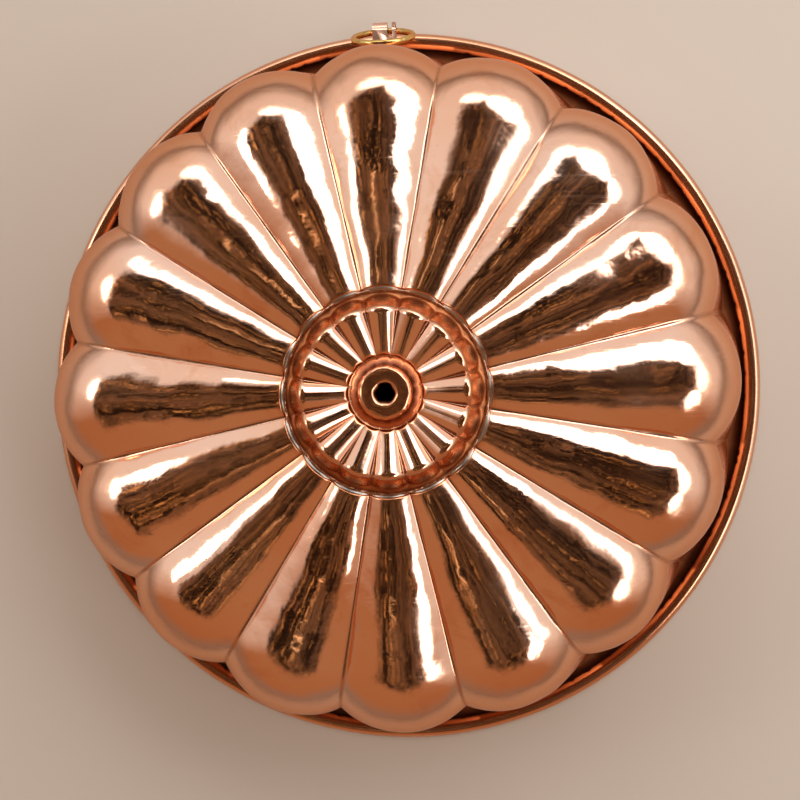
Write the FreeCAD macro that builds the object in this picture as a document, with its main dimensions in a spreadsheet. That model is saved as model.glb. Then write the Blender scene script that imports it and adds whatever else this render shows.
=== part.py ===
"""Copper bundt mould: a fluted shell of sixteen lobes with a wired rim, a raised second tier,
a centre tube and a riveted hanger with a free ring.

The mould lies rim-down. The origin is the centre of the plane that the rim rests on, +Z points up
to the closed, fluted side, and the hanger sits on the lobe that points along +Y. Sizes are in mm
and angles in degrees.
"""
import FreeCAD, Part
import math
import os
import Sketcher

from FreeCAD import Placement, Rotation, Vector

ORIGIN = Vector(0, 0, 0)
X_AXIS = Vector(1, 0, 0)
Z_AXIS = Vector(0, 0, 1)

DIMENSIONS = {
    # rim: a bead rolled upwards round a wire
    "rim_radius": 130.0,
    "bead_radius": 2.7,
    "body_gauge": 0.9,
    "roll_end_angle": 212.0,
    "wire_clearance": 0.02,
    # lobes of the body, each given by the line of its crest and the line of its crease
    "lobe_count": 16,
    "lobe_half_angle": 36.0,
    "base_crest_radius": 124.2,
    "base_crease_radius": 120.5,
    "crest_draft": 19.5,
    "crease_draft": 21.5,
    "crest_height": 78.5,
    "crease_height": 76.6,
    "crest_slope": 2.5,
    "crease_slope": 6.15,
    "crest_shoulder": 25.0,
    "crease_shoulder": 20.0,
    "crest_knee": 1.1,
    "crease_knee": 0.8,
    "crest_drop": 263.0,
    "crease_drop": 256.0,
    "crease_gauge": 1.15,
    # seat in the middle of the body, where the second tier is soldered on
    "seat_radius": 28.6,
    "seat_hole_radius": 25.0,
    "seat_height": 75.4,
    # second tier
    "crown_gauge": 0.8,
    "crown_flange_radius": 28.4,
    "crown_base_crest_radius": 27.7,
    "crown_base_crease_radius": 26.5,
    "crown_crest_draft": 31.0,
    "crown_crease_draft": 32.0,
    "crown_top_radius": 23.4,
    "crown_crest_height": 83.9,
    "crown_crease_height": 81.6,
    "crown_crest_slope": -20.0,
    "crown_crease_slope": -13.0,
    "crown_crest_edge": 2.0,
    "crown_crease_edge": 1.4,
    "crown_drop": 240.0,
    "crown_crest_knee": 1.2,
    "crown_crease_knee": 0.6,
    "crown_collar_radius": 10.2,
    "crown_collar_height": 78.2,
    # centre tube, its end rolled inwards to the vent hole
    "tube_radius": 7.6,
    "tube_gauge": 0.9,
    "tube_start": 4.0,
    "tube_shoulder_height": 78.9,
    "tube_clearance": 0.02,
    "vent_radius": 2.5,
    "vent_lip": 1.6,
    # hanger, on the crest of the lobe on +Y; distances up the wall start at its foot
    "barrel_offset": 128.7,
    "barrel_height": 8.6,
    "barrel_bore": 2.15,
    "strap_gauge": 0.8,
    "strap_width": 8.4,
    "strap_fold": 11.0,
    "strap_end": 17.2,
    "slot_start": 1.2,
    "slot_width": 1.6,
    "rivet_distance": 14.3,
    "rivet_spread": 2.2,
    "rivet_radius": 0.9,
    "rivet_head_radius": 1.7,
    "rivet_head_height": 1.0,
    "rivet_crown_radius": 1.0,
    "rivet_crown_height": 0.8,
    "rivet_tail_radius": 1.35,
    "rivet_tail_height": 0.6,
    "rivet_tip_radius": 0.95,
    "drill_depth": 2.7,
    "drill_length": 3.6,
    "burr_radius": 1.9,
    "burr_gauge": 0.7,
    "burr_gap": 0.2,
    "ring_radius": 10.4,
    "ring_wire_radius": 1.05,
    "ring_lean": 33.0,
}

# How many points a meridian takes along each arc, each long line and the short last line.
ARC_POINTS = 9
LINE_POINTS = 7
END_POINTS = 2
ACROSS_LOBE = 12


def make_sheet(doc):
    """Writes the driving dimensions to the spreadsheet, one named cell each."""
    sheet = doc.addObject("Spreadsheet::Sheet", "Size")
    for row, (alias, value) in enumerate(DIMENSIONS.items(), start=1):
        sheet.set(f"A{row}", alias)
        sheet.set(f"B{row}", str(value))
        sheet.setAlias(f"B{row}", alias)
    doc.recompute()
    return sheet


# ---------------------------------------------------------------- lines of a meridian


def direction(angle):
    """Unit vector in the meridian plane: radius along X, height along Z."""
    return Vector(math.cos(math.radians(angle)), 0, math.sin(math.radians(angle)))


def crossing(line_a, line_b):
    """Where two lines of the meridian plane meet."""
    (point_a, way_a), (point_b, way_b) = line_a, line_b
    across = way_a.x * way_b.z - way_a.z * way_b.x
    gap = point_b - point_a
    return point_a + way_a * ((gap.x * way_b.z - gap.z * way_b.x) / across)


def at_height(line, height):
    """The point of a meridian line at a height."""
    point, way = line
    return point + way * ((height - point.z) / way.z)


def inset(line, depth):
    """A meridian line moved towards the inside of the mould."""
    point, way = line
    return point + Vector(-way.z, 0, way.x) * depth, way


def rounded(line_in, line_out, radius):
    """Points of the arc that rounds the left turn between two lines, both ends included."""
    way = line_in[1]
    turn = way.getAngle(line_out[1])
    start = crossing(line_in, line_out) - way * (radius * math.tan(turn / 2))
    normal = Vector(-way.z, 0, way.x)
    centre = start + normal * radius
    angles = [turn * step / (ARC_POINTS - 1) for step in range(ARC_POINTS)]
    return [centre + (way * math.sin(angle) - normal * math.cos(angle)) * radius for angle in angles]


def straight(start, end, count):
    """Points strictly between two ends."""
    return [start + (end - start) * (step / (count + 1)) for step in range(1, count + 1)]


def meridian(lines, radii, base_height, end):
    """Points along a wall, a top and a drop, with rounded corners, from the base to the end."""
    wall, top, drop = lines
    edge = rounded(wall, top, radii[0])
    knee = rounded(top, drop, radii[1])
    points = [at_height(wall, base_height)]
    points += straight(points[-1], edge[0], LINE_POINTS)
    points += edge
    points += straight(points[-1], knee[0], LINE_POINTS)
    points += knee
    points += straight(points[-1], end, END_POINTS)
    return points + [end]


# ---------------------------------------------------------------- lobed skins


def lobe_rise(share, half_angle):
    """Height of a round lobe across its width: 1 on its crest (share 0), 0 in its creases (share 1)."""
    edge = math.cos(half_angle)
    return (math.sqrt(1 - (share * math.sin(half_angle)) ** 2) - edge) / (1 - edge)


def lobe_face(crest, crease, lobes, half_angle):
    """One lobe as a face between two creases, its crest in the XZ plane."""
    rows = []
    for high, low in zip(crest, crease):
        row = []
        for step in range(ACROSS_LOBE + 1):
            share = 2 * step / ACROSS_LOBE - 1
            point = low + (high - low) * lobe_rise(abs(share), half_angle)
            turn = math.pi / lobes * share
            row.append(Vector(point.x * math.cos(turn), point.x * math.sin(turn), point.z))
        rows.append(row)
    surface = Part.BSplineSurface()
    surface.interpolate(rows)
    return surface.toShape()


def lobed_skin(sheet, form, depths, base_height, end):
    """The ring of lobe faces from a flat base curve in to a flat circle, with one lobe on +Y.

    depths moves the crest's and the crease's lines inwards, for the inner side of the metal."""
    half_angle = math.radians(sheet.lobe_half_angle)
    lobes = int(sheet.lobe_count)
    profiles = []
    for part, depth in zip(form, depths):
        lines = [inset(line, depth) for line in part["lines"]]
        lines[2] = (end, lines[2][1])
        radii = [part["radii"][0] - depth, part["radii"][1]]
        profiles.append(meridian(lines, radii, base_height, end))
    face = lobe_face(profiles[0], profiles[1], lobes, half_angle)
    ring = []
    for index in range(lobes):
        copy = face.copy()
        copy.rotate(ORIGIN, Z_AXIS, 90 + 360 / lobes * index)
        ring.append(copy)
    return ring


def level_wire(faces, height):
    """The closed wire of those edges of the faces that lie flat at one height."""
    edges = []
    for face in faces:
        for edge in face.Edges:
            box = edge.BoundBox
            if abs(box.ZMin - height) < 1e-4 and abs(box.ZMax - height) < 1e-4:
                edges.append(edge)
    return Part.Wire(Part.__sortEdges__(edges))


def circle_wire(radius, height):
    return Part.Wire([Part.makeCircle(radius, Vector(0, 0, height), Z_AXIS)])


def flat_ring(outer, inner):
    """The flat faces between two closed wires."""
    return Part.makeFace([outer, inner], "Part::FaceMakerBullseye").Faces


def revolved(edge):
    """The faces that an edge of the XZ plane sweeps round the Z axis."""
    return edge.revolve(ORIGIN, Z_AXIS, 360).Faces


def band(radius, low, high):
    """A short cylinder wall round the axis."""
    return revolved(Part.makeLine(Vector(radius, 0, low), Vector(radius, 0, high)))


def joined(faces, name):
    """Faces sewn into one closed solid."""
    shell = Part.Shell(faces)
    shell.sewShape()
    shell = Part.Shell(shell.Faces)
    solid = Part.Solid(shell)
    if solid.Volume < 0:
        solid.reverse()
    if not solid.isValid() or not shell.isClosed():
        raise RuntimeError(f"{name} didn't close into a solid")
    return solid


# ---------------------------------------------------------------- body


def body_form(sheet):
    """Outer lines of the body: wall, top and the drop to the seat, for the crest and the crease."""
    floor = sheet.body_gauge
    seat = Vector(sheet.seat_radius, 0, sheet.seat_height)
    crest = {
        "lines": [
            (Vector(sheet.base_crest_radius, 0, floor), direction(90 + sheet.crest_draft)),
            (Vector(sheet.seat_radius, 0, sheet.crest_height), direction(180 - sheet.crest_slope)),
            (seat, direction(sheet.crest_drop)),
        ],
        "radii": [sheet.crest_shoulder, sheet.crest_knee],
    }
    crease = {
        "lines": [
            (Vector(sheet.base_crease_radius, 0, floor), direction(90 + sheet.crease_draft)),
            (Vector(sheet.seat_radius, 0, sheet.crease_height), direction(180 - sheet.crease_slope)),
            (seat, direction(sheet.crease_drop)),
        ],
        "radii": [sheet.crease_shoulder, sheet.crease_knee],
    }
    return crest, crease


def rolled_bead(sheet):
    """The sheet's edge rolled round the rim wire: its outside, its inside and its cut edge."""
    outer = sheet.bead_radius
    inner = outer - sheet.body_gauge
    centre = Vector(sheet.rim_radius - outer, 0, outer)
    start = -90
    end = sheet.roll_end_angle
    middle = (start + end) / 2
    faces = []
    for radius in (outer, inner):
        ends = [centre + direction(angle) * radius for angle in (start, middle, end)]
        faces += revolved(Part.Arc(*ends).toShape())
    cut = [centre + direction(end) * radius for radius in (outer, inner)]
    return faces + revolved(Part.makeLine(*cut))


def body_shell(sheet):
    """The body in one piece of sheet: lobes, seat, flange and rolled bead."""
    gauge = sheet.body_gauge
    form = body_form(sheet)
    bead_circle = sheet.rim_radius - sheet.bead_radius
    top = sheet.seat_height
    faces = rolled_bead(sheet) + band(sheet.seat_hole_radius, top - gauge, top)
    for depths, base, end_height in (
        ((0, 0), gauge, top),
        ((gauge, sheet.crease_gauge), 0, top - gauge),
    ):
        end = Vector(sheet.seat_radius - depths[0] / 2, 0, end_height)
        skin = lobed_skin(sheet, form, depths, base, end)
        faces += skin
        faces += flat_ring(circle_wire(bead_circle, base), level_wire(skin, base))
        faces += flat_ring(level_wire(skin, end_height), circle_wire(sheet.seat_hole_radius, end_height))
    return joined(faces, "body shell")


# ---------------------------------------------------------------- second tier


def crown_form(sheet):
    """Outer lines of the second tier, for the crest and the crease of its lobes."""
    base = sheet.seat_height + sheet.crown_gauge
    collar = Vector(sheet.crown_collar_radius, 0, sheet.crown_collar_height)
    form = []
    for side in ("crest", "crease"):
        foot = Vector(getattr(sheet, f"crown_base_{side}_radius"), 0, base)
        peak = Vector(sheet.crown_top_radius, 0, getattr(sheet, f"crown_{side}_height"))
        lines = [
            (foot, direction(90 + getattr(sheet, f"crown_{side}_draft"))),
            (peak, direction(180 - getattr(sheet, f"crown_{side}_slope"))),
            (collar, direction(sheet.crown_drop)),
        ]
        radii = [getattr(sheet, f"crown_{side}_edge"), getattr(sheet, f"crown_{side}_knee")]
        form.append({"lines": lines, "radii": radii})
    return form


def crown_shell(sheet):
    """The second tier in one piece of sheet: foot flange, lobed wall, fluted hollow and collar."""
    gauge = sheet.crown_gauge
    form = crown_form(sheet)
    seat = sheet.seat_height
    collar = sheet.crown_collar_height
    rim = sheet.crown_flange_radius
    hole = sheet.tube_radius + sheet.tube_clearance
    faces = band(rim, seat, seat + gauge) + band(hole, collar - gauge, collar)
    for depths, base, end_height in (
        ((0, 0), seat + gauge, collar),
        ((gauge, gauge), seat, collar - gauge),
    ):
        end = Vector(sheet.crown_collar_radius - depths[0] / 2, 0, end_height)
        skin = lobed_skin(sheet, form, depths, base, end)
        faces += skin
        faces += flat_ring(circle_wire(rim, base), level_wire(skin, base))
        faces += flat_ring(level_wire(skin, end_height), circle_wire(hole, end_height))
    return joined(faces, "second tier")


# ---------------------------------------------------------------- sketches and placements


def make_body(doc, name):
    body = doc.addObject("PartDesign::Body", name)
    body.Label = name
    return body


def make_sketch(body, name, plane):
    """A sketch on one of the body's own origin planes."""
    sketch = body.newObject("Sketcher::SketchObject", name)
    planes = [item for item in body.Origin.OriginFeatures if item.Role == plane]
    sketch.AttachmentSupport = [(planes[0], "")]
    sketch.MapMode = "FlatFace"
    return sketch


def pin_point(sketch, element, end, across, along):
    """Binds a sketch point's two coordinates to expressions. None keeps it on that axis."""
    for axis, kind, expression in ((-2, "DistanceX", across), (-1, "DistanceY", along)):
        if expression is None:
            sketch.addConstraint(Sketcher.Constraint("PointOnObject", element, end, axis))
            continue
        value = sketch.evalExpression(expression)
        index = sketch.addConstraint(Sketcher.Constraint(kind, element, end, float(value)))
        sketch.setExpression(f"Constraints[{index}]", expression)


def sketch_point(sketch, across, along):
    """The place that two expressions give at their present values."""
    values = [0.0 if item is None else float(sketch.evalExpression(item)) for item in (across, along)]
    return Vector(values[0], values[1], 0)


def sketch_polygon(sketch, corners):
    """A closed outline whose corners are pairs of expressions."""
    places = [sketch_point(sketch, *corner) for corner in corners]
    count = len(corners)
    for index in range(count):
        sketch.addGeometry(Part.LineSegment(places[index], places[(index + 1) % count]), False)
    for index in range(count):
        sketch.addConstraint(Sketcher.Constraint("Coincident", index, 2, (index + 1) % count, 1))
        pin_point(sketch, index, 1, *corners[index])


def sketch_circle(sketch, across, along, radius):
    centre = sketch_point(sketch, across, along)
    size = float(sketch.evalExpression(radius))
    element = sketch.addGeometry(Part.Circle(centre, Z_AXIS, size), False)
    pin_point(sketch, element, 3, across, along)
    index = sketch.addConstraint(Sketcher.Constraint("Radius", element, size))
    sketch.setExpression(f"Constraints[{index}]", radius)
    return element


def revolve_sketch(body, sketch, name):
    """A full turn of the sketch about its vertical axis."""
    feature = body.newObject("PartDesign::Revolution", name)
    feature.Profile = sketch
    feature.ReferenceAxis = (sketch, ["V_Axis"])
    feature.Angle = 360.0
    sketch.Visibility = False
    return feature


def place_on_wall(item, across, outward, up_wall, tilt):
    """Binds an object's place to the wall under the hanger.

    across is along X, outward is off the wall, up_wall is the distance from the wall's foot, and
    tilt is the turn about X, all of them expressions."""
    lean = "Size.crest_draft * 1deg"
    item.Placement = Placement(ORIGIN, Rotation(X_AXIS, 10))
    item.setExpression("Placement.Base.x", across)
    item.setExpression(
        "Placement.Base.y",
        f"Size.base_crest_radius + ({outward}) * cos({lean}) - ({up_wall}) * sin({lean})",
    )
    item.setExpression(
        "Placement.Base.z",
        f"Size.body_gauge + ({outward}) * sin({lean}) + ({up_wall}) * cos({lean})",
    )
    item.setExpression("Placement.Rotation.Angle", tilt)


# ---------------------------------------------------------------- sub-parts


def rivet_hole(doc, side, sign):
    """A drill through the wall for one rivet, wider than the metal is thick on both sides."""
    drill = doc.addObject("Part::Cylinder", f"drill_{side}")
    drill.setExpression("Radius", "Size.rivet_radius")
    drill.setExpression("Height", "Size.drill_length")
    across = f"{sign} * Size.rivet_spread"
    place_on_wall(drill, across, "-Size.drill_depth", "Size.rivet_distance", "Size.crest_draft - 90")
    return drill


def make_pan_body(doc, sheet):
    shell = doc.addObject("Part::Feature", "fluted_shell")
    shell.Shape = body_shell(sheet)
    drills = doc.addObject("Part::MultiFuse", "rivet_drills")
    drills.Shapes = [rivet_hole(doc, "left", -1), rivet_hole(doc, "right", 1)]
    body = doc.addObject("Part::Cut", "pan_body")
    body.Base = shell
    body.Tool = drills
    body.Label = "pan_body"
    return body


def make_rim_wire(doc):
    wire = doc.addObject("Part::Torus", "rim_wire")
    wire.setExpression("Radius1", "Size.rim_radius - Size.bead_radius")
    wire.setExpression("Radius2", "Size.bead_radius - Size.body_gauge - Size.wire_clearance")
    wire.setExpression("Placement.Base.z", "Size.bead_radius")
    wire.Label = "rim_wire"
    return wire


def make_crown(doc, sheet):
    crown = doc.addObject("Part::Feature", "crown")
    crown.Shape = crown_shell(sheet)
    crown.Label = "crown"
    return crown


def make_centre_tube(doc):
    """A straight tube whose end is rolled inwards over half a turn, down into the vent hole."""
    body = make_body(doc, "centre_tube")
    sketch = make_sketch(body, "tube_profile", "XZ_Plane")
    wall, hole = "Size.tube_radius", "Size.vent_radius"
    shoulder = "Size.tube_shoulder_height"
    lip = f"{shoulder} - Size.vent_lip"
    gauge = "Size.tube_gauge"
    corners = [
        (wall, "Size.tube_start"),
        (wall, shoulder),
        (hole, shoulder),
        (hole, lip),
        (f"{hole} + {gauge}", lip),
        (f"{hole} + {gauge}", shoulder),
        (f"{wall} - {gauge}", shoulder),
        (f"{wall} - {gauge}", "Size.tube_start"),
    ]
    places = [sketch_point(sketch, *corner) for corner in corners]
    arcs = (1, 5)
    for index, start in enumerate(places):
        end = places[(index + 1) % len(places)]
        if index in arcs:
            middle = (start + end) / 2
            round_end = Part.Circle(middle, Z_AXIS, start.distanceToPoint(end) / 2)
            sketch.addGeometry(Part.ArcOfCircle(round_end, 0, math.pi), False)
        else:
            sketch.addGeometry(Part.LineSegment(start, end), False)
    # The outer arc runs from the wall to the hole, and the inner one is drawn the other way round.
    starts = {index: 1 for index in range(len(places))}
    starts[5] = 2
    for index in range(len(places)):
        following = (index + 1) % len(places)
        kind = "Tangent" if following in arcs else "Coincident"
        sketch.addConstraint(
            Sketcher.Constraint(kind, index, 3 - starts[index], following, starts[following])
        )
        pin_point(sketch, index, starts[index], *corners[index])
    revolve_sketch(body, sketch, "tube_revolved")
    return body


def make_hanger_strap(doc):
    """Strip folded into a barrel for the ring, its two leaves lying on each other on the wall."""
    body = make_body(doc, "hanger_strap")
    sketch = make_sketch(body, "strap_outline", "YZ_Plane")
    lean = "Size.crest_draft * 1deg"
    out = "(Size.barrel_offset - Size.base_crest_radius)"
    rise = "(Size.barrel_height - Size.body_gauge)"
    centre = (f"{out} * cos({lean}) + {rise} * sin({lean})", f"{rise} * cos({lean}) - {out} * sin({lean})")
    fold, end = "Size.strap_fold", "Size.strap_end"
    leaves = "2 * Size.strap_gauge"
    outer = sketch_drop(sketch, centre, "Size.barrel_bore + Size.strap_gauge", (None, fold), (leaves, fold))
    corners = [(leaves, fold), (leaves, end), (None, end), (None, fold)]
    places = [sketch_point(sketch, *corner) for corner in corners]
    sides = [sketch.addGeometry(Part.LineSegment(*pair), False) for pair in zip(places, places[1:])]
    sketch.addConstraint(Sketcher.Constraint("Coincident", outer[2], 2, sides[0], 1))
    sketch.addConstraint(Sketcher.Constraint("Coincident", sides[0], 2, sides[1], 1))
    sketch.addConstraint(Sketcher.Constraint("Coincident", sides[1], 2, sides[2], 1))
    sketch.addConstraint(Sketcher.Constraint("Coincident", sides[2], 2, outer[0], 1))
    pin_point(sketch, sides[1], 1, *corners[1])
    pin_point(sketch, sides[2], 1, *corners[2])
    meeting = ("Size.strap_gauge", fold)
    inner = sketch_drop(sketch, centre, "Size.barrel_bore", meeting, meeting)
    sketch.addConstraint(Sketcher.Constraint("Coincident", inner[2], 2, inner[0], 1))
    strap = body.newObject("PartDesign::Pad", "strap_pad")
    strap.Profile = sketch
    strap.Midplane = True
    strap.setExpression("Length", "Size.strap_width")
    cut_ring_slot(doc, body, centre)
    cut_rivet_holes(doc, body)
    place_on_wall(body, "0", "0", "0", "Size.crest_draft")
    return body


def sketch_drop(sketch, centre, radius, start, end):
    """A line, the far side of a circle and a line, tangent to each other, from start to end.

    start and end may be the same point. Returns the three elements."""
    middle = sketch_point(sketch, *centre)
    size = float(sketch.evalExpression(radius))
    places = [sketch_point(sketch, *start), sketch_point(sketch, *end)]
    touches = []
    for place, side in zip(places, (1, -1)):
        way = middle - place
        distance = way.Length
        turn = side * math.asin(size / distance)
        leg = math.sqrt(distance**2 - size**2) / distance
        touches.append(
            place
            + Vector(
                way.x * math.cos(turn) - way.y * math.sin(turn),
                way.x * math.sin(turn) + way.y * math.cos(turn),
                0,
            )
            * leg
        )
    first = sketch.addGeometry(Part.LineSegment(places[0], touches[0]), False)
    far = middle * 2 - (touches[0] + touches[1]) / 2
    far = middle + (far - middle).normalize() * size
    bend = sketch.addGeometry(Part.Arc(touches[0], far, touches[1]), False)
    last = sketch.addGeometry(Part.LineSegment(touches[1], places[1]), False)
    ends = [sketch.Geometry[bend].StartPoint, touches[0]]
    from_first = 1 if ends[0].distanceToPoint(ends[1]) < size / 10 else 2
    sketch.addConstraint(Sketcher.Constraint("Tangent", first, 2, bend, from_first))
    sketch.addConstraint(Sketcher.Constraint("Tangent", bend, 3 - from_first, last, 1))
    pin_point(sketch, bend, 3, *centre)
    index = sketch.addConstraint(Sketcher.Constraint("Radius", bend, size))
    sketch.setExpression(f"Constraints[{index}]", radius)
    pin_point(sketch, first, 1, *start)
    if start != end:
        pin_point(sketch, last, 2, *end)
    return first, bend, last


def cut_ring_slot(doc, body, centre):
    """A slot that parts the barrel into a wide and a narrow knuckle."""
    sketch = make_sketch(body, "slot_outline", "XY_Plane")
    near = f"{centre[0]} - Size.barrel_bore"
    far = f"{centre[0]} + 2 * Size.barrel_bore"
    left = "Size.slot_start"
    right = "Size.slot_start + Size.slot_width"
    sketch_polygon(sketch, [(left, near), (right, near), (right, far), (left, far)])
    doc.recompute()
    slot = body.newObject("PartDesign::Pocket", "ring_slot")
    slot.Profile = sketch
    slot.Type = 1
    slot.Midplane = True


def cut_rivet_holes(doc, body):
    """Two holes through both leaves."""
    sketch = make_sketch(body, "rivet_holes_outline", "XZ_Plane")
    for sign in (-1, 1):
        sketch_circle(sketch, f"{sign} * Size.rivet_spread", "Size.rivet_distance", "Size.rivet_radius")
    doc.recompute()
    holes = body.newObject("PartDesign::Pocket", "rivet_holes")
    holes.Profile = sketch
    holes.Type = 1
    holes.Midplane = True


def make_rivet(doc, side, sign):
    """Domed head outside the strap, shank through strap and wall, peened tail on the burr."""
    name = f"{side}_rivet"
    body = make_body(doc, name)
    sketch = make_sketch(body, f"{side}_rivet_profile", "XZ_Plane")
    seat = "-(2 * Size.strap_gauge + Size.body_gauge + Size.burr_gap + Size.burr_gauge)"
    tail = f"{seat} - Size.rivet_tail_height"
    head = "Size.rivet_head_radius"
    shank = "Size.rivet_radius"
    tip = "Size.rivet_tail_radius"
    corners = [
        (None, "Size.rivet_head_height"),
        ("Size.rivet_crown_radius", "Size.rivet_crown_height"),
        (head, None),
        (shank, None),
        (shank, seat),
        (tip, seat),
        ("Size.rivet_tip_radius", tail),
        (None, tail),
    ]
    sketch_polygon(sketch, corners)
    revolve_sketch(body, sketch, f"{side}_rivet_revolved")
    across = f"{sign} * Size.rivet_spread"
    place_on_wall(body, across, "2 * Size.strap_gauge", "Size.rivet_distance", "Size.crest_draft - 90")
    return body


def make_burr(doc, side, sign):
    """The washer that the rivet's tail is peened over, inside the wall."""
    name = f"{side}_burr"
    body = make_body(doc, name)
    sketch = make_sketch(body, f"{side}_burr_outline", "XY_Plane")
    sketch_circle(sketch, None, None, "Size.burr_radius")
    sketch_circle(sketch, None, None, "Size.rivet_radius")
    pad = body.newObject("PartDesign::Pad", f"{side}_burr_pad")
    pad.Profile = sketch
    pad.setExpression("Length", "Size.burr_gauge")
    across = f"{sign} * Size.rivet_spread"
    outward = "-(Size.body_gauge + Size.burr_gap + Size.burr_gauge)"
    place_on_wall(body, across, outward, "Size.rivet_distance", "Size.crest_draft - 90")
    return body


def make_hanger_ring(doc):
    """The ring through the barrel, leaning in against the lobe's wall."""
    ring = doc.addObject("Part::Torus", "hanger_ring")
    ring.setExpression("Radius1", "Size.ring_radius")
    ring.setExpression("Radius2", "Size.ring_wire_radius")
    ring.Placement = Placement(ORIGIN, Rotation(X_AXIS, 10))
    lean = "Size.ring_lean * 1deg"
    ring.setExpression("Placement.Base.y", f"Size.barrel_offset - Size.ring_radius * sin({lean})")
    ring.setExpression("Placement.Base.z", f"Size.barrel_height + Size.ring_radius * cos({lean})")
    ring.setExpression("Placement.Rotation.Angle", "90 + Size.ring_lean")
    ring.Label = "hanger_ring"
    return ring


# ---------------------------------------------------------------- checks and export


def check_document(doc, parts):
    """Stops on a failed feature, an unbound sketch or a shape that isn't a valid solid."""
    for item in doc.Objects:
        if "Invalid" in item.State or "Error" in item.State:
            raise RuntimeError(f"{item.Name} failed: {item.State}")
    for item in parts:
        shape = item.Shape
        if shape.isNull() or not shape.isValid() or not shape.Solids:
            raise RuntimeError(f"{item.Label} isn't a valid solid")


def main():
    doc = FreeCAD.newDocument("bundt_pan")
    sheet = make_sheet(doc)
    parts = [
        make_pan_body(doc, sheet),
        make_rim_wire(doc),
        make_crown(doc, sheet),
        make_centre_tube(doc),
        make_hanger_strap(doc),
        make_hanger_ring(doc),
    ]
    for side, sign in (("left", -1), ("right", 1)):
        parts.append(make_rivet(doc, side, sign))
        parts.append(make_burr(doc, side, sign))
    doc.recompute()
    check_document(doc, parts)
    os.makedirs("parts", exist_ok=True)
    for item in parts:
        item.Shape.exportStep(f"parts/{item.Label}.step")
        box = item.Shape.BoundBox
        print(
            item.Label,
            f"volume {item.Shape.Volume:.1f}",
            f"box {box.XMin:.2f} {box.YMin:.2f} {box.ZMin:.2f} to {box.XMax:.2f} {box.YMax:.2f} {box.ZMax:.2f}",
        )


main()
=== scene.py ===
"""Looks of the copper bundt mould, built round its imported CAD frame.

Lengths in the builders below are in millimetres, and a mesh is scaled to metres as it is made. The
mould lies rim-down at the origin, +Z points up to its fluted side, and the hanger is on +Y.
"""

import math

import bmesh
import bpy
import numpy as np
from mathutils import Matrix, Vector, noise


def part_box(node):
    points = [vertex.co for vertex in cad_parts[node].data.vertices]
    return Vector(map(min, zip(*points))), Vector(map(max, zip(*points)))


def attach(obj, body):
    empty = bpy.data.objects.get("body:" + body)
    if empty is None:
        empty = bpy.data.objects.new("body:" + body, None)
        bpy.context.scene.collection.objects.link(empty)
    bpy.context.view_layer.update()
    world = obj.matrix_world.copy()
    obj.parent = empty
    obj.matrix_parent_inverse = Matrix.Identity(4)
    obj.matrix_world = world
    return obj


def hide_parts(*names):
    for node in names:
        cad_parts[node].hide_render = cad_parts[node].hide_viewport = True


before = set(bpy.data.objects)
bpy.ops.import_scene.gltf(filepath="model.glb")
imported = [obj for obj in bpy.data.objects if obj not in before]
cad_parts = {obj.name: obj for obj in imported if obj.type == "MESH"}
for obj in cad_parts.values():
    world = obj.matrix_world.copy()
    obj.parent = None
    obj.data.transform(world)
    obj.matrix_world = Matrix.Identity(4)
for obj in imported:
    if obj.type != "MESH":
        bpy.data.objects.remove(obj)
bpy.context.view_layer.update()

MM = 0.001
LOBES = 16
HALF_ANGLE = math.radians(36)
GAUGE = 0.9
LEAN = math.radians(19.5)
WALL_FOOT = (124.2, 0.9)
CREASE_GAUGE = 1.15
SEAT_RADIUS = 28.6
SEAT_HEIGHT = 75.4
SEAT_HOLE = 25.0
SHOULDERS = (25.0, 20.0)
KNEES = (1.1, 0.8)
CROWN_GAUGE = 0.8
CROWN_FOOT = 76.2
CROWN_FLANGE = 28.4
CROWN_EDGES = (2.0, 1.4)
CROWN_KNEES = (1.2, 0.6)
COLLAR = (10.2, 78.2)
STRAP_GAUGE = 0.8

body_low, body_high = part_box("pan_body")
RIM = (body_high.x - body_low.x) / 2 / MM
BEAD = 2.7


# ---------------------------------------------------------------- camera and studio


def make_camera():
    """A phone's wide camera over the mould, 3 degrees off its axis, a little turned and off centre."""
    data = bpy.data.cameras.new("camera")
    data.sensor_width = 36
    data.lens = 36
    camera = bpy.data.objects.new("camera", data)
    bpy.context.scene.collection.objects.link(camera)
    bpy.context.scene.camera = camera
    radius = RIM * MM
    distance = 2.30 * radius
    roll = math.radians(2.4)
    right = Vector((math.cos(roll), -math.sin(roll), 0))
    up = Vector((math.sin(roll), math.cos(roll), 0))
    away = (right * 0.055 + up * 0.012 + Vector((0, 0, 1))).normalized()
    aim = (right * -0.001 + up * -0.0135) * distance
    camera.location = away * distance
    back = (camera.location - aim).normalized()
    across = up.cross(back).normalized()
    upward = back.cross(across)
    camera.matrix_world = Matrix.Translation(camera.location) @ Matrix(
        (across, upward, back)
    ).transposed().to_4x4()
    data.clip_start = 0.01
    data.clip_end = 20


def area_light(name, azimuth, elevation, distance, size, power, colour):
    """A soft panel that faces the mould."""
    data = bpy.data.lights.new(name, "AREA")
    data.shape = "ELLIPSE"
    data.size, data.size_y = size
    data.energy = power
    data.color = colour
    lamp = bpy.data.objects.new(name, data)
    bpy.context.scene.collection.objects.link(lamp)
    a, e = math.radians(azimuth), math.radians(elevation)
    way = Vector((math.cos(a) * math.cos(e), math.sin(a) * math.cos(e), math.sin(e)))
    lamp.location = way * distance
    lamp.rotation_mode = "QUATERNION"
    lamp.rotation_quaternion = way.to_track_quat("Z", "Y")
    lamp.visible_camera = False
    return lamp


# ---------------------------------------------------------------- shader helpers


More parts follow.
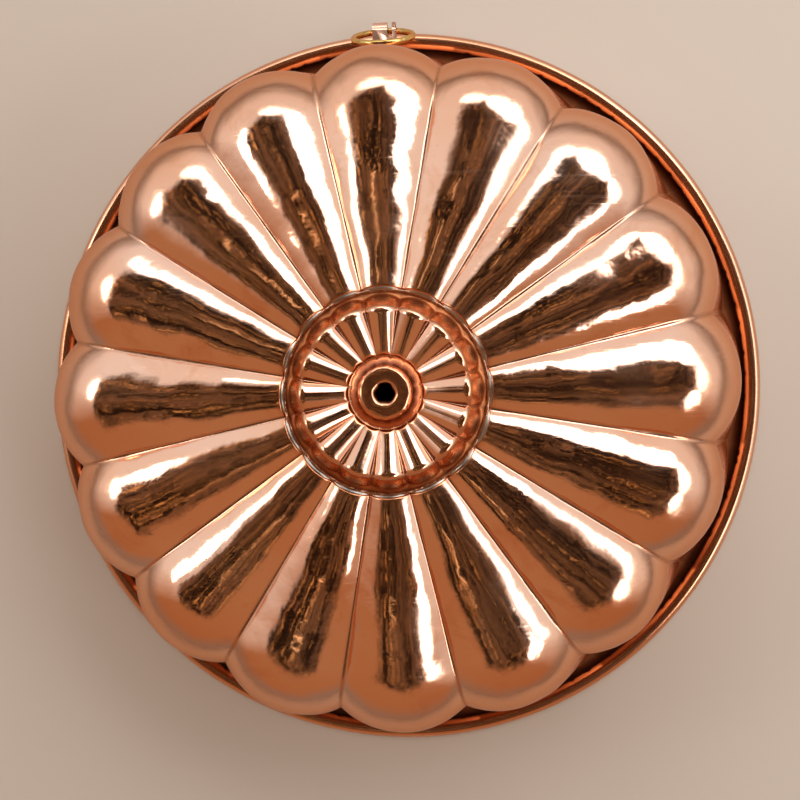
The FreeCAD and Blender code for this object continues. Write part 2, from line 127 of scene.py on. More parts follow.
class Shader:
    """The node tree of a material or a world, with one short call for each kind of node it uses."""

    def __init__(self, owner, space="Object"):
        owner.use_nodes = True
        self.owner = owner
        self.tree = owner.node_tree
        self.place = self.tree.nodes.new("ShaderNodeTexCoord").outputs[space]
        self.bump = None

    def node(self, kind, inputs, **settings):
        made = self.tree.nodes.new(kind)
        for key, value in settings.items():
            setattr(made, key, value)
        for key, value in inputs.items():
            self.put(made.inputs[key], value)
        return made

    def put(self, socket, value):
        if isinstance(value, bpy.types.NodeSocket):
            self.tree.links.new(value, socket)
        else:
            socket.default_value = value

    def stretched(self, turn, scale, source=None):
        """Coordinates turned about the axes and scaled."""
        made = self.node(
            "ShaderNodeMapping",
            {"Vector": source or self.place, "Rotation": turn, "Scale": scale},
        )
        return made.outputs["Vector"]

    def noise(self, scale, detail=2.0, roughness=0.5, source=None, distortion=0.0):
        made = self.node(
            "ShaderNodeTexNoise",
            {
                "Vector": source or self.place,
                "Scale": scale,
                "Detail": detail,
                "Roughness": roughness,
                "Distortion": distortion,
            },
        )
        return made.outputs["Fac"]

    def spread(self, value, low, high, to_low=0.0, to_high=1.0):
        """The value's range low to high taken to another range, held at both ends."""
        made = self.node(
            "ShaderNodeMapRange",
            {"Value": value, "From Min": low, "From Max": high, "To Min": to_low, "To Max": to_high},
        )
        return made.outputs["Result"]

    def math(self, operation, first, second):
        made = self.node("ShaderNodeMath", {0: first, 1: second}, operation=operation)
        return made.outputs[0]

    def mix(self, share, first, second):
        made = self.node("ShaderNodeMix", {}, data_type="RGBA")
        self.put(made.inputs[0], share)
        self.put(made.inputs[6], first)
        self.put(made.inputs[7], second)
        return made.outputs[2]

    def attribute(self, name):
        return self.node("ShaderNodeAttribute", {}, attribute_name=name).outputs["Fac"]

    def raise_by(self, height, millimetres):
        """Adds one layer of relief, given by the height of its full range."""
        inputs = {"Height": height, "Distance": millimetres * MM, "Strength": 1.0}
        if self.bump is not None:
            inputs["Normal"] = self.bump
        self.bump = self.node("ShaderNodeBump", inputs).outputs["Normal"]

    def finish(self, colour, metallic, roughness):
        surface = self.tree.nodes["Principled BSDF"]
        self.put(surface.inputs["Base Color"], colour)
        self.put(surface.inputs["Metallic"], metallic)
        self.put(surface.inputs["Roughness"], roughness)
        if metallic == 1.0:
            self.put(surface.inputs["Specular Tint"], (0.90, 0.68, 0.56, 1))
        if self.bump is not None:
            self.put(surface.inputs["Normal"], self.bump)
        return self.owner


# ---------------------------------------------------------------- materials


PINK_COPPER = (0.95, 0.64, 0.51, 1)
COPPER = (0.92, 0.54, 0.38, 1)
DEEP_COPPER = (0.76, 0.34, 0.18, 1)
# A painted reflection: deep brown laid through the "wall" attribute, standing in for the brown surroundings
# the walls reflect.
PAINTED_REFLECTION_BROWN = (0.72, 0.29, 0.12, 1)
TARNISH = (0.30, 0.13, 0.07, 1)


def polished_copper(name, gloss=0.06, relief=1.0):
    """Hand-polished copper: warm clouds, faint stains, rubbing lines and tarnish in the creases."""
    s = Shader(bpy.data.materials.new(name))
    clouds = s.spread(s.noise(26, 3), 0.35, 0.65)
    colour = s.mix(clouds, PINK_COPPER, COPPER)
    stains = s.spread(s.noise(60, 6, 0.62, distortion=0.6), 0.56, 0.74)
    colour = s.mix(s.math("MULTIPLY", stains, 0.55), colour, DEEP_COPPER)
    # Painted reflection: the "wall" attribute lays deep brown on the walls, shoulders, knees, flange and the
    # tube's top, and also roughens them.
    wall = s.attribute("wall")
    colour = s.mix(s.math("MULTIPLY", wall, 0.85), colour, PAINTED_REFLECTION_BROWN)
    specks = s.spread(s.noise(900, 3, 0.6), 0.66, 0.78)
    dirt = s.math("MAXIMUM", s.attribute("grime"), s.math("MULTIPLY", specks, 0.35))
    colour = s.mix(dirt, colour, TARNISH)
    first = s.noise(1.0, 3, 0.55, s.stretched((0, 0, 0.6), (14, 950, 60)))
    second = s.noise(1.0, 3, 0.55, s.stretched((0, 0, -0.9), (10, 700, 60)))
    rubbing = s.math("MAXIMUM", s.spread(first, 0.6, 0.75), s.spread(second, 0.62, 0.78))
    haze = s.spread(s.noise(38, 4, 0.6), 0.42, 0.72)
    rough = s.math("MULTIPLY_ADD", haze, 0.07)
    rough.node.inputs[2].default_value = gloss
    rough = s.math("ADD", rough, s.math("MULTIPLY", rubbing, 0.07))
    rough = s.math("ADD", rough, s.math("MULTIPLY", dirt, 0.3))
    rough = s.math("ADD", rough, s.math("MULTIPLY", wall, 0.14))
    s.raise_by(s.noise(210, 2, 0.5), 0.08 * relief)
    s.raise_by(rubbing, 0.004 * relief)
    s.raise_by(s.noise(1400, 2), 0.0012 * relief)
    return s.finish(colour, 1.0, rough)


def drawn_copper(name):
    """Copper of the rolled bead: streaks that run along the roll, less gloss than the lobes."""
    s = Shader(bpy.data.materials.new(name))
    across = s.attribute("section")
    wide = s.node(
        "ShaderNodeCombineXYZ",
        {
            "X": s.node("ShaderNodeSeparateXYZ", {0: s.place}).outputs["X"],
            "Y": s.node("ShaderNodeSeparateXYZ", {0: s.place}).outputs["Y"],
            "Z": across,
        },
    ).outputs[0]
    streaks = s.noise(1.0, 5, 0.65, s.stretched((0, 0, 0), (16, 16, 7), wide))
    fine = s.noise(1.0, 3, 0.6, s.stretched((0, 0, 0), (40, 40, 40), wide))
    colour = s.mix(s.spread(streaks, 0.35, 0.65), COPPER, DEEP_COPPER)
    dirt = s.math("MAXIMUM", s.attribute("grime"), s.spread(s.noise(240, 5, 0.7), 0.66, 0.82, 0, 0.5))
    colour = s.mix(dirt, colour, TARNISH)
    rough = s.math("ADD", s.spread(fine, 0.35, 0.7, 0.12, 0.30), s.math("MULTIPLY", dirt, 0.3))
    s.raise_by(streaks, 0.03)
    s.raise_by(fine, 0.008)
    return s.finish(colour, 1.0, rough)


def tin_lining(name):
    """Hand-wiped tin on the inside: pale grey, with wiping marks and dull patches."""
    s = Shader(bpy.data.materials.new(name))
    wipes = s.noise(1.0, 4, 0.6, s.stretched((0.2, 0.4, 0.9), (30, 220, 90)))
    patches = s.spread(s.noise(45, 5, 0.6), 0.4, 0.7)
    colour = s.mix(patches, (0.60, 0.58, 0.54, 1), (0.42, 0.40, 0.37, 1))
    rough = s.spread(wipes, 0.3, 0.7, 0.26, 0.46)
    s.raise_by(wipes, 0.03)
    return s.finish(colour, 1.0, rough)


def solder(name):
    """Soft solder wiped flush, tinted by the copper round it."""
    s = Shader(bpy.data.materials.new(name))
    colour = s.mix(s.spread(s.noise(300, 4), 0.35, 0.65), (0.80, 0.46, 0.31, 1), (0.62, 0.32, 0.19, 1))
    s.raise_by(s.noise(420, 3), 0.05)
    return s.finish(colour, 1.0, s.spread(s.noise(500, 2), 0.3, 0.7, 0.2, 0.42))


def brass(name):
    """Cast brass of the ring: golden, browner in random patches, with dark specks."""
    s = Shader(bpy.data.materials.new(name))
    colour = s.mix(s.spread(s.noise(160, 4), 0.35, 0.7), (0.86, 0.60, 0.24, 1), (0.66, 0.40, 0.13, 1))
    specks = s.spread(s.noise(1500, 4, 0.7), 0.62, 0.76, 0, 0.6)
    colour = s.mix(specks, colour, (0.22, 0.12, 0.05, 1))
    rough = s.math("ADD", s.spread(s.noise(420, 4), 0.3, 0.7, 0.14, 0.30), s.math("MULTIPLY", specks, 0.25))
    s.raise_by(s.noise(700, 4), 0.05)
    return s.finish(colour, 1.0, rough)


def iron(name):
    """Iron wire with patches of rust."""
    s = Shader(bpy.data.materials.new(name))
    rust = s.spread(s.noise(500, 6, 0.7), 0.45, 0.62)
    colour = s.mix(rust, (0.22, 0.21, 0.20, 1), (0.24, 0.09, 0.04, 1))
    s.raise_by(s.noise(900, 5, 0.7), 0.04)
    return s.finish(colour, s.math("SUBTRACT", 1.0, rust), s.spread(rust, 0, 1, 0.4, 0.9))


def pale_floor(name):
    """A matt, pale, faintly uneven table."""
    s = Shader(bpy.data.materials.new(name))
    colour = s.mix(s.spread(s.noise(3, 5), 0.3, 0.7), (0.72, 0.67, 0.61, 1), (0.68, 0.62, 0.56, 1))
    return s.finish(colour, 0.0, 0.75)


# ---------------------------------------------------------------- lines of a meridian


def direction(degrees):
    return Vector((math.cos(math.radians(degrees)), math.sin(math.radians(degrees))))


def left_of(way):
    return Vector((-way.y, way.x))


def crossing(line_a, line_b):
    (point_a, way_a), (point_b, way_b) = line_a, line_b
    gap = point_b - point_a
    return point_a + way_a * (gap.cross(way_b) / way_a.cross(way_b))


def rounded(line_in, line_out, radius, count):
    """Points of the arc that rounds the left turn between two lines, both ends included."""
    way = line_in[1]
    turn = way.angle(line_out[1])
    start = crossing(line_in, line_out) - way * (radius * math.tan(turn / 2))
    centre = start + left_of(way) * radius
    angles = [turn * step / (count - 1) for step in range(count)]
    return [centre + (way * math.sin(a) - left_of(way) * math.cos(a)) * radius for a in angles]


def straight(start, end, count):
    """Points from start to end, without the start."""
    return [start.lerp(end, step / count) for step in range(1, count + 1)]


def meridian(lines, radii, base, end, counts):
    """A wall, a top and a drop with rounded corners, from the base height to the end."""
    wall, top, drop = lines
    edge = rounded(wall, top, radii[0], counts[1])
    knee = rounded(top, drop, radii[1], counts[3])
    foot = wall[0] + wall[1] * ((base - wall[0].y) / wall[1].y)
    points = [foot] + straight(foot, edge[0], counts[0])[:-1] + edge
    points += straight(edge[-1], knee[0], counts[2])[:-1] + knee
    return points + straight(knee[-1], end, counts[4])


def inset(lines, depth, end):
    """The same lines on the inner side of the metal, with the drop through the end."""
    moved = [(point + left_of(way) * depth, way) for point, way in lines]
    return [moved[0], moved[1], (end, lines[2][1])]


# ---------------------------------------------------------------- grids of points round the axis


def lobe_columns(across):
    """Azimuth and share of every column: closer together beside the creases, one lobe on +Y."""
    even = np.arange(across) * 2 / across - 1
    share = 0.25 * even + 0.75 * np.sin(even * math.pi / 2)
    lobe = np.repeat(np.arange(LOBES), across)
    shares = np.tile(share, LOBES)
    return math.pi / 2 + (2 * lobe + shares) * math.pi / LOBES, np.abs(shares)


def lobed_rows(crest, crease, across):
    """A grid (along the meridian, round the axis, xyz) of a lobed skin, and each column's share."""
    azimuth, share = lobe_columns(across)
    edge = math.cos(HALF_ANGLE)
    rise = (np.sqrt(1 - (share * math.sin(HALF_ANGLE)) ** 2) - edge) / (1 - edge)
    high = np.array(crest)[:, None, :]
    low = np.array(crease)[:, None, :]
    flat = low + (high - low) * rise[None, :, None]
    return turned(flat, azimuth), share


def turned(flat, azimuth):
    """Radius and height at each azimuth as xyz."""
    return np.stack(
        [flat[..., 0] * np.cos(azimuth), flat[..., 0] * np.sin(azimuth), flat[..., 1]], axis=-1
    )


def circle_row(radius, height, azimuth):
    flat = np.tile([[radius, height]], (len(azimuth), 1))
    return turned(flat, azimuth)[None]


def grid_normals(grid):
    """Unit normals of a grid that closes round the axis; they point outwards on a rising wall."""
    along = np.gradient(grid, axis=0)
    around = np.roll(grid, -1, axis=1) - np.roll(grid, 1, axis=1)
    normal = np.cross(around, along)
    return normal / np.maximum(np.linalg.norm(normal, axis=-1, keepdims=True), 1e-9)


def waves(points, layers):
    """Sum of smooth noise layers from 0 to their depth, each a depth and a wavelength."""
    total = np.zeros(len(points))
    for index, (depth, length) in enumerate(layers):
        offset = Vector((17.3 * (index + 1), 0, 0))
        total += [
            depth * (0.5 + 0.5 * max(-1, min(1, 1.4 * noise.noise(Vector(p) / length + offset))))
            for p in points
        ]
    return total


def hammered(grid, layers, mask=None):
    """The grid pressed in along its normals by hand-work waves, never outwards."""
    depth = waves(grid.reshape(-1, 3), layers).reshape(grid.shape[:2])
    if mask is not None:
        depth = depth * mask
    return grid - grid_normals(grid) * depth[..., None]


def ring_mesh(name, grid, materials, row_slots=None, closed=True, attributes=None):
    """A mesh from a grid that closes round the axis, and along it too if closed."""
    rows, columns = grid.shape[:2]
    mesh = bpy.data.meshes.new(name)
    index = np.arange(rows * columns).reshape(rows, columns)
    low = index if closed else index[:-1]
    high = np.roll(index, -1, axis=0) if closed else index[1:]
    faces = np.stack(
        [low, np.roll(low, -1, axis=1), np.roll(high, -1, axis=1), high], axis=-1
    ).reshape(-1, 4)
    mesh.from_pydata((grid.reshape(-1, 3) * MM).tolist(), [], faces.tolist())
    for material in materials:
        mesh.materials.append(material)
    if row_slots is not None:
        mesh.polygons.foreach_set("material_index", np.repeat(row_slots[: len(low)], columns))
    mesh.polygons.foreach_set("use_smooth", np.ones(len(faces), bool))
    for key, values in (attributes or {}).items():
        made = mesh.attributes.new(key, "FLOAT", "POINT")
        made.data.foreach_set("value", np.asarray(values, np.float32).reshape(-1))
    made = bpy.data.objects.new(name, mesh)
    bpy.context.scene.collection.objects.link(made)
    return made


def piece(made, body, slot, *nodes):
    """Hangs a piece on its body and hides the CAD nodes it stands for; the slot is not used."""
    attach(made, body)
    if nodes:
        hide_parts(*nodes)
    return made


# ---------------------------------------------------------------- body


def painted_reflection_share(size, outer_rows, counts):
    """Share of a painted brown reflection, which also roughens the metal: full on the wall, fading over its
    shoulder, rising again at the knee, and more than full on the flange and foot.
    """
    rows = np.arange(outer_rows)
    shoulder = np.clip(1 - (rows - counts[0]) / counts[1], 0, 1)
    knee = np.clip((rows - (outer_rows - counts[3] - counts[4] - 2)) / 4, 0, 1)
    share = np.zeros(size)
    share[1 : outer_rows + 1] = np.maximum(shoulder, knee)[:, None]
    # Painted reflection on the flange and the wall's foot: the share is more than full, so they take all the
    # deep brown and are rougher.
    share[:3] = 2.2
    return share


def body_meridians():
    """Outer lines of the lobes' crest and crease, as in the CAD model."""
    seat = Vector((SEAT_RADIUS, SEAT_HEIGHT))
    crest = [
        (Vector((124.2, GAUGE)), direction(109.5)),
        (Vector((seat.x, 78.5)), direction(177.5)),
        (seat, direction(263)),
    ]
    crease = [
        (Vector((120.5, GAUGE)), direction(111.5)),
        (Vector((seat.x, 76.6)), direction(173.85)),
        (seat, direction(256)),
    ]
    return crest, crease


def make_copper_body(copper, tin):
    counts = (20, 26, 72, 8, 6)
    crest, crease = body_meridians()
    across = 40
    end = Vector((SEAT_RADIUS, SEAT_HEIGHT))
    outer, share = lobed_rows(
        meridian(crest, (SHOULDERS[0], KNEES[0]), GAUGE, end, counts),
        meridian(crease, (SHOULDERS[1], KNEES[1]), GAUGE, end, counts),
        across,
    )
    azimuth, _ = lobe_columns(across)
    # the skin stays true at the base, at the seat and under the hanger strap
    rows = np.arange(len(outer))
    fade = np.clip(np.minimum(rows / 6, (len(outer) - 1 - rows) / 6), 0, 1)[:, None]
    near_strap = np.hypot(outer[..., 0], outer[..., 1] - 121.5) < 9
    mask = fade * np.where(near_strap & (outer[..., 2] < 24), 0.1, 1.0)
    outer = hammered(outer, ((0.62, 24), (0.30, 10), (0.11, 5.5)), mask)
    inner_end = Vector((SEAT_RADIUS - GAUGE / 2, SEAT_HEIGHT - GAUGE))
    coarse = (8, 14, 14, 6, 2)
    crest_in = inset(crest, GAUGE, inner_end)
    crease_in = inset(crease, CREASE_GAUGE, inner_end)
    inner, _ = lobed_rows(
        meridian(crest_in, (SHOULDERS[0] - GAUGE, KNEES[0]), 0, inner_end, coarse),
        meridian(crease_in, (SHOULDERS[1] - CREASE_GAUGE, KNEES[1]), 0, inner_end, coarse),
        across,
    )
    flange = RIM - BEAD
    grid = np.concatenate(
        [
            circle_row(flange, GAUGE, azimuth),
            outer,
            circle_row(SEAT_HOLE, SEAT_HEIGHT, azimuth),
            circle_row(SEAT_HOLE, SEAT_HEIGHT - GAUGE, azimuth),
            inner[::-1],
            circle_row(flange, 0, azimuth),
        ]
    )
    turn = len(outer) + 1
    slots = np.where(np.arange(len(grid)) < turn, 0, 1)
    grime = np.zeros(grid.shape[:2])
    crease_line = np.exp(-(((1 - share) / 0.018) ** 2))
    foot = np.exp(-((rows / 2.2) ** 2))[:, None]
    seat = np.exp(-(((len(outer) - 1 - rows) / 5) ** 2))[:, None]
    grime[1 : turn] = np.maximum(0.45 * crease_line[None, :], np.maximum(0.15 * foot, 0.2 * seat))
    grime[0] = 0.1
    wall = painted_reflection_share(grid.shape[:2], len(outer), counts)
    made = ring_mesh("copper_body", grid, (copper, tin), slots, attributes={"grime": grime, "wall": wall})
    return piece(made, "pan", "copper_body", "pan_body")


def make_rim_bead(copper):
    """The sheet's edge rolled round the wire, with the marks of the tool that closed its seam."""
    columns = 1600
    azimuth = np.arange(columns) * 2 * math.pi / columns
    angles = np.linspace(-90, 212, 34)
    back = np.linspace(212, -90, 8)
    centre = np.array([RIM - BEAD, BEAD])
    outside = np.array([centre + BEAD * np.array(direction(a)) for a in angles])
    inside = np.array([centre + (BEAD - GAUGE) * np.array(direction(a)) for a in back])
    profile = np.concatenate([outside, inside])
    grid = turned(np.repeat(profile[:, None, :], columns, axis=1), azimuth)
    rng = np.random.default_rng(7)
    count = 118
    marks = (np.arange(count) + rng.uniform(-0.28, 0.28, count)) * 2 * math.pi / count
    depth = rng.uniform(0.15, 0.5, count) * (rng.uniform(0, 1, count) > 0.15)
    gap = (azimuth[:, None] - marks[None, :] + math.pi) % (2 * math.pi) - math.pi
    dent = (depth[None, :] * np.exp(-((gap * RIM / 0.75) ** 2))).sum(axis=1)
    window = np.exp(-(((angles - 190) / 24) ** 2))
    planish = waves(grid[: len(angles)].reshape(-1, 3), ((0.10, 16), (0.03, 5)))
    planish = planish.reshape(len(angles), columns)
    planish *= np.clip((angles + 60) / 30, 0, 1)[:, None]
    push = planish + window[:, None] * dent[None, :]
    middle = turned(np.tile(centre, (columns, 1)), azimuth)
    outward = (grid[: len(angles)] - middle) / BEAD
    grid[: len(angles)] -= outward * push[..., None]
    grime = np.zeros(grid.shape[:2])
    grime[: len(angles)] = np.clip(
        window[:, None] * (0.35 + 1.6 * dent[None, :]) + 0.4 * np.exp(-(((angles + 90) / 20) ** 2))[:, None],
        0,
        0.9,
    )
    section = np.repeat(np.linspace(0, 3, len(grid))[:, None], columns, axis=1)
    made = ring_mesh("rim_bead", grid, (copper,), attributes={"grime": grime, "section": section})
    return piece(made, "pan", "copper_body", "pan_body")


# ---------------------------------------------------------------- second tier and tube


def crown_lines():
    collar = Vector(COLLAR)
    crest = [
        (Vector((27.7, CROWN_FOOT)), direction(121)),
        (Vector((23.4, 83.9)), direction(200)),
        (collar, direction(240)),
    ]
    crease = [
        (Vector((26.5, CROWN_FOOT)), direction(122)),
        (Vector((23.4, 81.6)), direction(193)),
        (collar, direction(240)),
    ]
    return crest, crease


def make_crown(copper, tin):
    gauge = CROWN_GAUGE
    counts = (8, 14, 20, 8, 6)
    across = 24
    hole = 7.62
    crest, crease = crown_lines()
    end = Vector(COLLAR)
    outer, share = lobed_rows(
        meridian(crest, (CROWN_EDGES[0], CROWN_KNEES[0]), CROWN_FOOT, end, counts),
        meridian(crease, (CROWN_EDGES[1], CROWN_KNEES[1]), CROWN_FOOT, end, counts),
        across,
    )
    azimuth, _ = lobe_columns(across)
    rows = np.arange(len(outer))
    fade = np.clip(np.minimum(rows / 3, (len(outer) - 1 - rows) / 3), 0, 1)[:, None]
    outer = hammered(outer, ((0.07, 9), (0.01, 4)), fade)
    inner_end = Vector((COLLAR[0] - gauge / 2, COLLAR[1] - gauge))
    coarse = (4, 8, 8, 4, 2)
    crest_in, crease_in = inset(crest, gauge, inner_end), inset(crease, gauge, inner_end)
    inner, _ = lobed_rows(
        meridian(crest_in, (CROWN_EDGES[0] - gauge, CROWN_KNEES[0]), SEAT_HEIGHT, inner_end, coarse),
        meridian(crease_in, (CROWN_EDGES[1] - gauge, CROWN_KNEES[1]), SEAT_HEIGHT, inner_end, coarse),
        across,
    )
    grid = np.concatenate(
        [
            circle_row(CROWN_FLANGE, CROWN_FOOT, azimuth),
            outer,
            circle_row(hole, COLLAR[1], azimuth),
            circle_row(hole, COLLAR[1] - gauge, azimuth),
            inner[::-1],
            circle_row(CROWN_FLANGE, SEAT_HEIGHT, azimuth),
        ]
    )
    turn = len(outer) + 1
    slots = np.where(np.arange(len(grid)) < turn, 0, 1)
    slots[-1] = 0
    grime = np.zeros(grid.shape[:2])
    crease_line = np.exp(-(((1 - share) / 0.06) ** 2))
    foot = np.exp(-((rows / 2.0) ** 2))[:, None]
    grime[1 : turn] = np.maximum(0.35 * crease_line[None, :], 0.2 * foot)
    grime[0] = 0.2
    wall = painted_reflection_share(grid.shape[:2], len(outer), counts)
    made = ring_mesh("copper_crown", grid, (copper, tin), slots, attributes={"grime": grime, "wall": wall})
    return piece(made, "pan", "copper_crown", "crown")


def flattened(way):
    """A unit vector taken from the circle to a rounder-cornered square, for a hammered-flat end."""
    return Vector([math.copysign(abs(part) ** 0.62, part) for part in way])


def make_tube(copper):
    """The tube, its end rolled inwards to the vent, whose edge is a little uneven."""
    columns = 96
    azimuth = np.arange(columns) * 2 * math.pi / columns
    wall, gauge, start, shoulder, vent, lip = 7.6, 0.9, 4.0, 78.9, 2.5, 1.6
    middle = Vector(((wall + vent) / 2, shoulder))
    outer_arc = [middle + flattened(direction(a)) * (wall - vent) / 2 for a in np.linspace(0, 180, 22)]
    inner_arc = [middle + direction(a) * ((wall - vent) / 2 - gauge) for a in np.linspace(180, 0, 12)]
    profile = [Vector((wall, z)) for z in np.linspace(start, shoulder - 0.5, 24)]
    profile += outer_arc + [Vector((vent, shoulder - lip / 2)), Vector((vent, shoulder - lip))]
    profile += [Vector((vent + gauge, shoulder - lip))] + inner_arc + [Vector((wall - gauge, start))]
    flat = np.repeat(np.array(profile)[:, None, :], columns, axis=1)
    near_vent = np.clip((3.6 - flat[..., 0]) / 1.1, 0, 1)
    flat[..., 0] += near_vent * (0.10 * np.cos(6 * azimuth + 0.4) + 0.14 * np.cos(3 * azimuth + 1.9))
    grid = turned(flat, azimuth)
    dents = waves(grid.reshape(-1, 3), ((0.34, 4), (0.20, 2.4))).reshape(grid.shape[:2])
    grid[..., 2] -= dents * (grid[..., 2] > 79)
    # Painted shade round the vent and down into it, and the wall darkens towards the roll; the top of the
    # roll gets the painted brown reflection through the "wall" attribute.
    grime = np.clip((3.1 - flat[..., 0]) / 0.8, 0, 1) * 0.55
    grime[: 24] = np.maximum(grime[: 24], np.linspace(0, 1, 24)[:, None] ** 6 * 0.5)
    painted_reflection_tone = np.where(grid[..., 2] > 79, 0.7, 0.0)
    made = ring_mesh("copper_tube", grid, (copper,), attributes={"grime": grime, "wall": painted_reflection_tone})
    return piece(made, "pan", "copper_tube", "centre_tube")


def make_seam(material):
    """Soft solder that fills the valley round the foot of the second tier."""
    columns = 720
    azimuth = np.arange(columns) * 2 * math.pi / columns
    rng = np.random.default_rng(3)
    beads = rng.normal(0, 1, (7, 2))
    uneven = sum(
        beads[i, 0] * np.cos((9 + 11 * i) * azimuth) + beads[i, 1] * np.sin((9 + 11 * i) * azimuth)
        for i in range(7)
    )
    uneven = 0.03 * uneven
    profile = np.array(
        [[27.9, 76.15], [28.15, 76.5], [28.5, 76.7], [28.85, 76.6], [28.95, 76.1], [28.6, 75.35]]
    )
    flat = np.repeat(profile[:, None, :], columns, axis=1)
    flat[1:5, :, 1] += uneven[None, :] * np.array([0.8, 1, 1, 0.6])[:, None]
    flat[0, :, 0] += 0.6 * uneven
    made = ring_mesh("crown_seam", turned(flat, azimuth), (material,))
    return piece(made, "pan", "copper_crown")


# ---------------------------------------------------------------- hanger


def off_wall(across, outward, up_wall):
    """A point given by its distance off the wall and up it from the foot, under the hanger."""
    radius, height = WALL_FOOT
    return Vector(
        (
            across,
            radius + outward * math.cos(LEAN) - up_wall * math.sin(LEAN),
            height + outward * math.sin(LEAN) + up_wall * math.cos(LEAN),
        )
    )


def softened_copy(node, name, materials, bevel, wobble):
    """A copy of a CAD node with its edges rounded off and its faces a little uneven."""
    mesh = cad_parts[node].data.copy()
    mesh.name = name
    shape = bmesh.new()
    shape.from_mesh(mesh)
    bmesh.ops.remove_doubles(shape, verts=shape.verts, dist=2e-6)
    bmesh.ops.dissolve_limit(
        shape, angle_limit=math.radians(1), verts=shape.verts, edges=shape.edges
    )
    sharp = [e for e in shape.edges if e.is_manifold and e.calc_face_angle() > math.radians(35)]
    bmesh.ops.bevel(
        shape, geom=sharp, offset=bevel * MM, segments=3, profile=0.5, affect="EDGES", clamp_overlap=True
    )
    bmesh.ops.triangulate(shape, faces=shape.faces)
    for vertex in shape.verts:
        swell = noise.noise(vertex.co / (3 * MM))
        vertex.co -= vertex.normal * (wobble * MM * (0.5 + 0.5 * swell))
    for face in shape.faces:
        face.smooth = True
    shape.to_mesh(mesh)
    shape.free()
    mesh.materials.clear()
    for material in materials:
        mesh.materials.append(material)
    made = bpy.data.objects.new(name, mesh)
    bpy.context.scene.collection.objects.link(made)
    return made


def make_strap(copper):
    made = softened_copy("hanger_strap", "copper_strap", (copper,), 0.18, 0.05)
    made.data.set_sharp_from_angle(angle=math.radians(40))
    return piece(made, "pan", "copper_strap", "hanger_strap")


def make_rivet(side, sign, copper):
    """A hammered head outside and a peened tail over its burr inside."""
    head, height, shank = 1.7, 1.0, 0.9
    seat = 2 * STRAP_GAUGE + GAUGE + 0.2 + 0.7
    tail_radius, tail = 1.35, 0.6
    dome = [Vector((head * math.cos(a), height * math.sin(a))) for a in np.linspace(0, 1.45, 9)]
    foot = [Vector((shank, 0)), Vector((shank, -seat))]
    peen = [Vector((tail_radius * math.cos(a), -seat - tail * math.sin(a))) for a in np.linspace(0, 1.45, 6)]
    profile = dome[::-1] + foot + peen
    columns = 40
    azimuth = np.arange(columns) * 2 * math.pi / columns
    grid = turned(np.repeat(np.array(profile)[:, None, :], columns, axis=1), azimuth)
    dents = waves(grid.reshape(-1, 3) + 9.0 * sign, ((0.16, 1.1),)).reshape(grid.shape[:2])
    grid[:9] += grid_normals(grid[:9]) * dents[:9, :, None]
    grid[:9, :, 2] = np.minimum(grid[:9, :, 2], height)
    base = off_wall(sign * 2.2, 2 * STRAP_GAUGE, 14.3)
    tilt = np.array(Matrix.Rotation(LEAN - math.pi / 2, 3, "X"))
    placed = grid @ tilt.T + np.array(base)
    grime = np.zeros(grid.shape[:2])
    grime[7:10] = 0.6
    made = ring_mesh(f"{side}_rivet_head", placed, (copper,), closed=False, attributes={"grime": grime})
    close_ends(made)
    return piece(made, "pan", "copper_rivet", f"{side}_rivet")


def close_ends(made):
    """Fills the small round holes at both ends of a lathed piece."""
    shape = bmesh.new()
    shape.from_mesh(made.data)
    bmesh.ops.holes_fill(shape, edges=[e for e in shape.edges if e.is_boundary], sides=0)
    bmesh.ops.recalc_face_normals(shape, faces=shape.faces)
    for face in shape.faces:
        face.smooth = True
    shape.to_mesh(made.data)
    shape.free()


def make_ring(material):
    """The ring, a little out of true, worn where it hangs and with the line of its butt joint."""
    low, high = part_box("hanger_ring")
    centre = np.array((low + high) / 2) / MM
    wire = 1.05
    radius = (high.x - low.x) / MM / 2 - wire
    lean = math.radians(33)
    steps, sides = 180, 24
    turn = np.arange(steps) * 2 * math.pi / steps
    around = np.arange(sides) * 2 * math.pi / sides
    joint = np.exp(-((((turn - 0.9 + math.pi) % (2 * math.pi) - math.pi) * radius / 0.22) ** 2))
    thin = wire * (1 - 0.03 * (1 + np.cos(3 * turn + 1)) / 2 - 0.10 * joint)
    path = radius - 0.05 * (1 + np.cos(2 * turn + 0.8)) / 2
    flat = path[:, None] + thin[:, None] * np.cos(around)[None, :]
    local = np.stack(
        [
            flat * np.cos(turn)[:, None],
            flat * np.sin(turn)[:, None],
            thin[:, None] * np.sin(around)[None, :],
        ],
        axis=-1,
    )
    tilt = np.array(Matrix.Rotation(math.pi / 2 + lean, 3, "X"))
    grid = local @ tilt.T + centre
    grime = np.repeat(0.7 * joint[:, None], sides, axis=1)
    made = ring_mesh("brass_hanging_ring", grid, (material,), attributes={"grime": grime})
    return piece(made, "ring", "brass_ring", "hanger_ring")


# ---------------------------------------------------------------- scene


def make_floor():
    mesh = bpy.data.meshes.new("floor")
    half = 1.5
    corners = [(-half, -half, 0), (half, -half, 0), (half, half, 0), (-half, half, 0)]
    mesh.from_pydata(corners, [], [(0, 1, 2, 3)])
    mesh.materials.append(pale_floor("pale_floor"))
    floor = bpy.data.objects.new("floor", mesh)
    floor.location.z = -0.0003
    bpy.context.scene.collection.objects.link(floor)


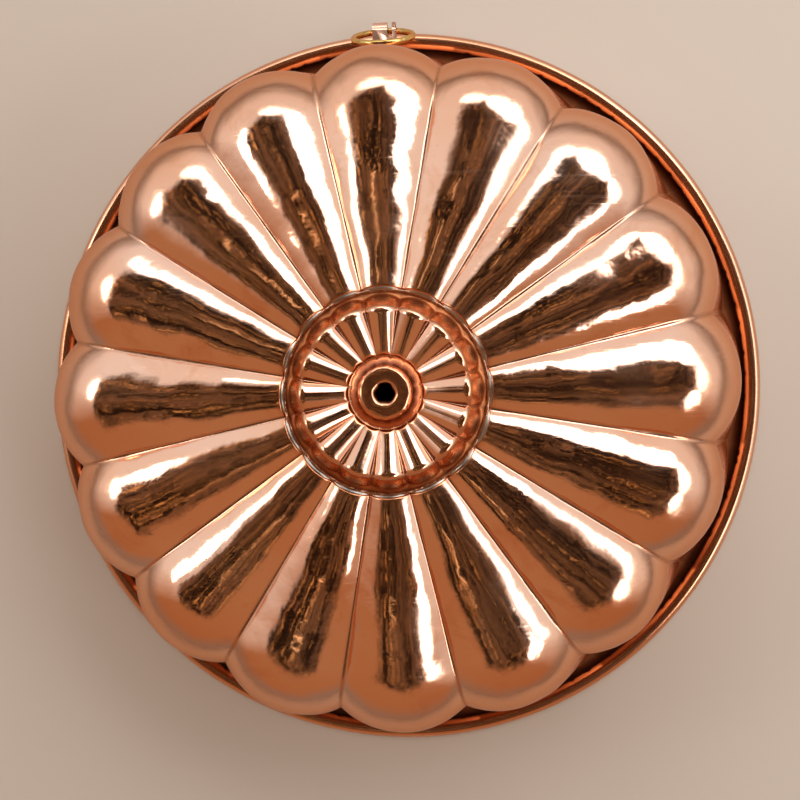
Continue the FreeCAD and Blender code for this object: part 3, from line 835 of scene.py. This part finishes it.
def make_world():
    """A dim room: grey-brown at the horizon, brown on one side and white on the other, dark overhead."""
    world = bpy.data.worlds.new("studio")
    bpy.context.scene.world = world
    room = Shader(world, "Generated")
    split = room.node("ShaderNodeSeparateXYZ", {0: room.place}).outputs
    side = room.math("ADD", room.math("MULTIPLY", split["X"], 0.22), room.math("MULTIPLY", split["Y"], 0.97))
    walls = room.mix(room.spread(side, -0.45, 0.05), (0.42, 0.20, 0.09, 1), (0.90, 0.84, 0.78, 1))
    height = split["Z"]
    low = room.mix(room.spread(height, 0.0, 0.30), (0.30, 0.24, 0.20, 1), walls)
    blotches = room.spread(room.noise(5.0, 5, 0.65, distortion=1.2), 0.46, 0.58)
    above = room.mix(blotches, (0.015, 0.008, 0.005, 1), (0.16, 0.085, 0.045, 1))
    glints = room.spread(room.noise(8, 3, 0.6, distortion=2.0), 0.61, 0.66)
    above = room.mix(glints, above, (0.95, 0.48, 0.16, 1))
    edge = room.math("ADD", height, room.spread(room.noise(9, 4, 0.6), 0.3, 0.7, -0.05, 0.05))
    colour = room.mix(room.spread(edge, 0.70, 0.76), low, above)
    room.put(room.tree.nodes["Background"].inputs["Color"], colour)


def make_lights():
    warm = (1.0, 0.86, 0.74)
    white = (1.0, 0.95, 0.90)
    amber = (1.0, 0.62, 0.30)
    area_light("key", 50, 46, 0.85, (0.62, 0.34), 2.0, white)
    area_light("right", 5, 40, 0.85, (0.50, 0.20), 0.6, white)
    area_light("top", 95, 42, 0.85, (0.46, 0.20), 0.6, white)
    area_light("left", 160, 42, 0.85, (0.34, 0.18), 0.8, warm)
    area_light("lower_right", -30, 44, 0.85, (0.34, 0.20), 0.8, white)
    area_light("strip_one", 120, 70, 0.9, (0.30, 0.015), 0.02, amber)
    area_light("strip_two", 250, 66, 0.9, (0.20, 0.012), 0.012, amber)


def cover_cad_nodes(copper, iron_wire):
    """Finishes for the CAD nodes that stay as they are."""
    finishes = {"rim_wire": iron_wire, "left_burr": copper, "right_burr": copper}
    for name, material in finishes.items():
        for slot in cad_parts[name].material_slots:
            slot.material = material


make_camera()
make_world()
make_lights()
make_floor()
body_copper = polished_copper("polished_copper", 0.08)
crown_copper = polished_copper("crown_copper", 0.07, 0.35)
fitting_copper = polished_copper("fitting_copper", 0.16, 0.8)
tin = tin_lining("tin_lining")
make_copper_body(body_copper, tin)
make_rim_bead(drawn_copper("drawn_copper"))
make_crown(crown_copper, tin)
make_tube(crown_copper)
make_seam(solder("soft_solder"))
make_strap(fitting_copper)
for rivet_side, rivet_sign in (("left", -1), ("right", 1)):
    make_rivet(rivet_side, rivet_sign, fitting_copper)
make_ring(brass("ring_brass"))
cover_cad_nodes(fitting_copper, iron("rusty_iron"))
bpy.context.scene.view_settings.view_transform = "Standard"
